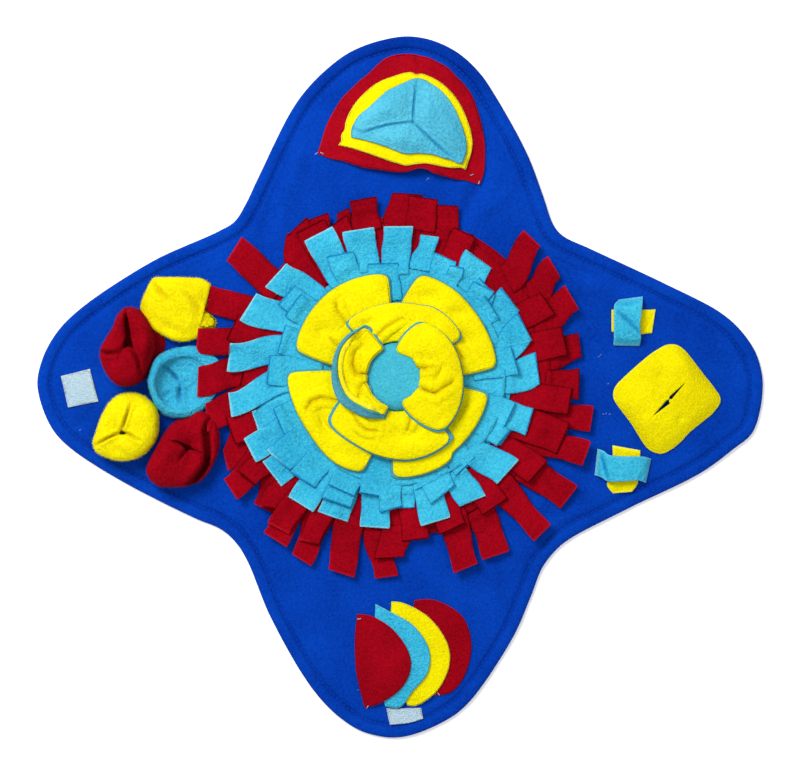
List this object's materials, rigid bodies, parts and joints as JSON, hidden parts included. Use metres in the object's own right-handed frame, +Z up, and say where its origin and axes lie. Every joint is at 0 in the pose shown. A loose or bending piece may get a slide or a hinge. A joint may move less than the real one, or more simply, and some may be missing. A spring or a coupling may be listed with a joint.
{
  "type": "snuffle mat",
  "caption": "Lobed fleece snuffle mat: a flower on layered fringe, with gathered pockets, nested fan, slit pouch, crossing strips and shingled flaps that hide treats.",
  "frame": {"origin": "middle of the mat's underside, on the surface it lies on", "axes": "+Z up off the surface, +X along the mat's long way towards the lobe with the slit pouch, +Y towards the lobe with the fan"},
  "size_m": [0.6, 0.58, 0.0392],
  "materials": {
    "blue_fleece": "matt fleece",
    "red_fleece": "matt fleece",
    "fan_red_fleece": "matt fleece",
    "yellow_fleece": "matt fleece",
    "cyan_fleece": "matt fleece",
    "fan_cyan_fleece": "matt fleece",
    "teal_fleece": "matt fleece",
    "hook_and_loop": "looped tape"
  },
  "bodies": {
    "root": {"fan_cyan": "fan_cyan_fleece", "fan_red": "fan_red_fleece", "fan_yellow": "yellow_fleece", "flap_cyan": "cyan_fleece", "flap_red_back": "red_fleece", "flap_red_front": "red_fleece", "flap_yellow": "yellow_fleece", "flower_centre": "teal_fleece", "fringe_cyan_high": "cyan_fleece", "fringe_cyan_low": "cyan_fleece", "fringe_red_high": "red_fleece", "fringe_red_low": "red_fleece", "mat": "blue_fleece", "patch_bottom": "hook_and_loop", "patch_left": "hook_and_loop", "petal_inner_1_back": "teal_fleece", "petal_inner_1_front": "yellow_fleece", "petal_inner_2_back": "teal_fleece", "petal_inner_2_front": "yellow_fleece", "petal_inner_3_back": "teal_fleece", "petal_inner_3_front": "yellow_fleece", "petal_inner_4_back": "teal_fleece", "petal_inner_4_front": "yellow_fleece", "petal_outer_1_back": "teal_fleece", "petal_outer_1_front": "yellow_fleece", "petal_outer_2_back": "teal_fleece", "petal_outer_2_front": "yellow_fleece", "petal_outer_3_back": "teal_fleece", "petal_outer_3_front": "yellow_fleece", "petal_outer_4_back": "teal_fleece", "petal_outer_4_front": "yellow_fleece", "pocket_cyan": "cyan_fleece", "pocket_red_left": "red_fleece", "pocket_red_low": "red_fleece", "pocket_yellow_left": "yellow_fleece", "pocket_yellow_top": "yellow_fleece", "pouch_yellow": "yellow_fleece", "strip_lower_cyan": "cyan_fleece", "strip_lower_yellow": "yellow_fleece", "strip_upper_cyan": "cyan_fleece", "strip_upper_yellow": "yellow_fleece"}
  },
  "joints": []
}
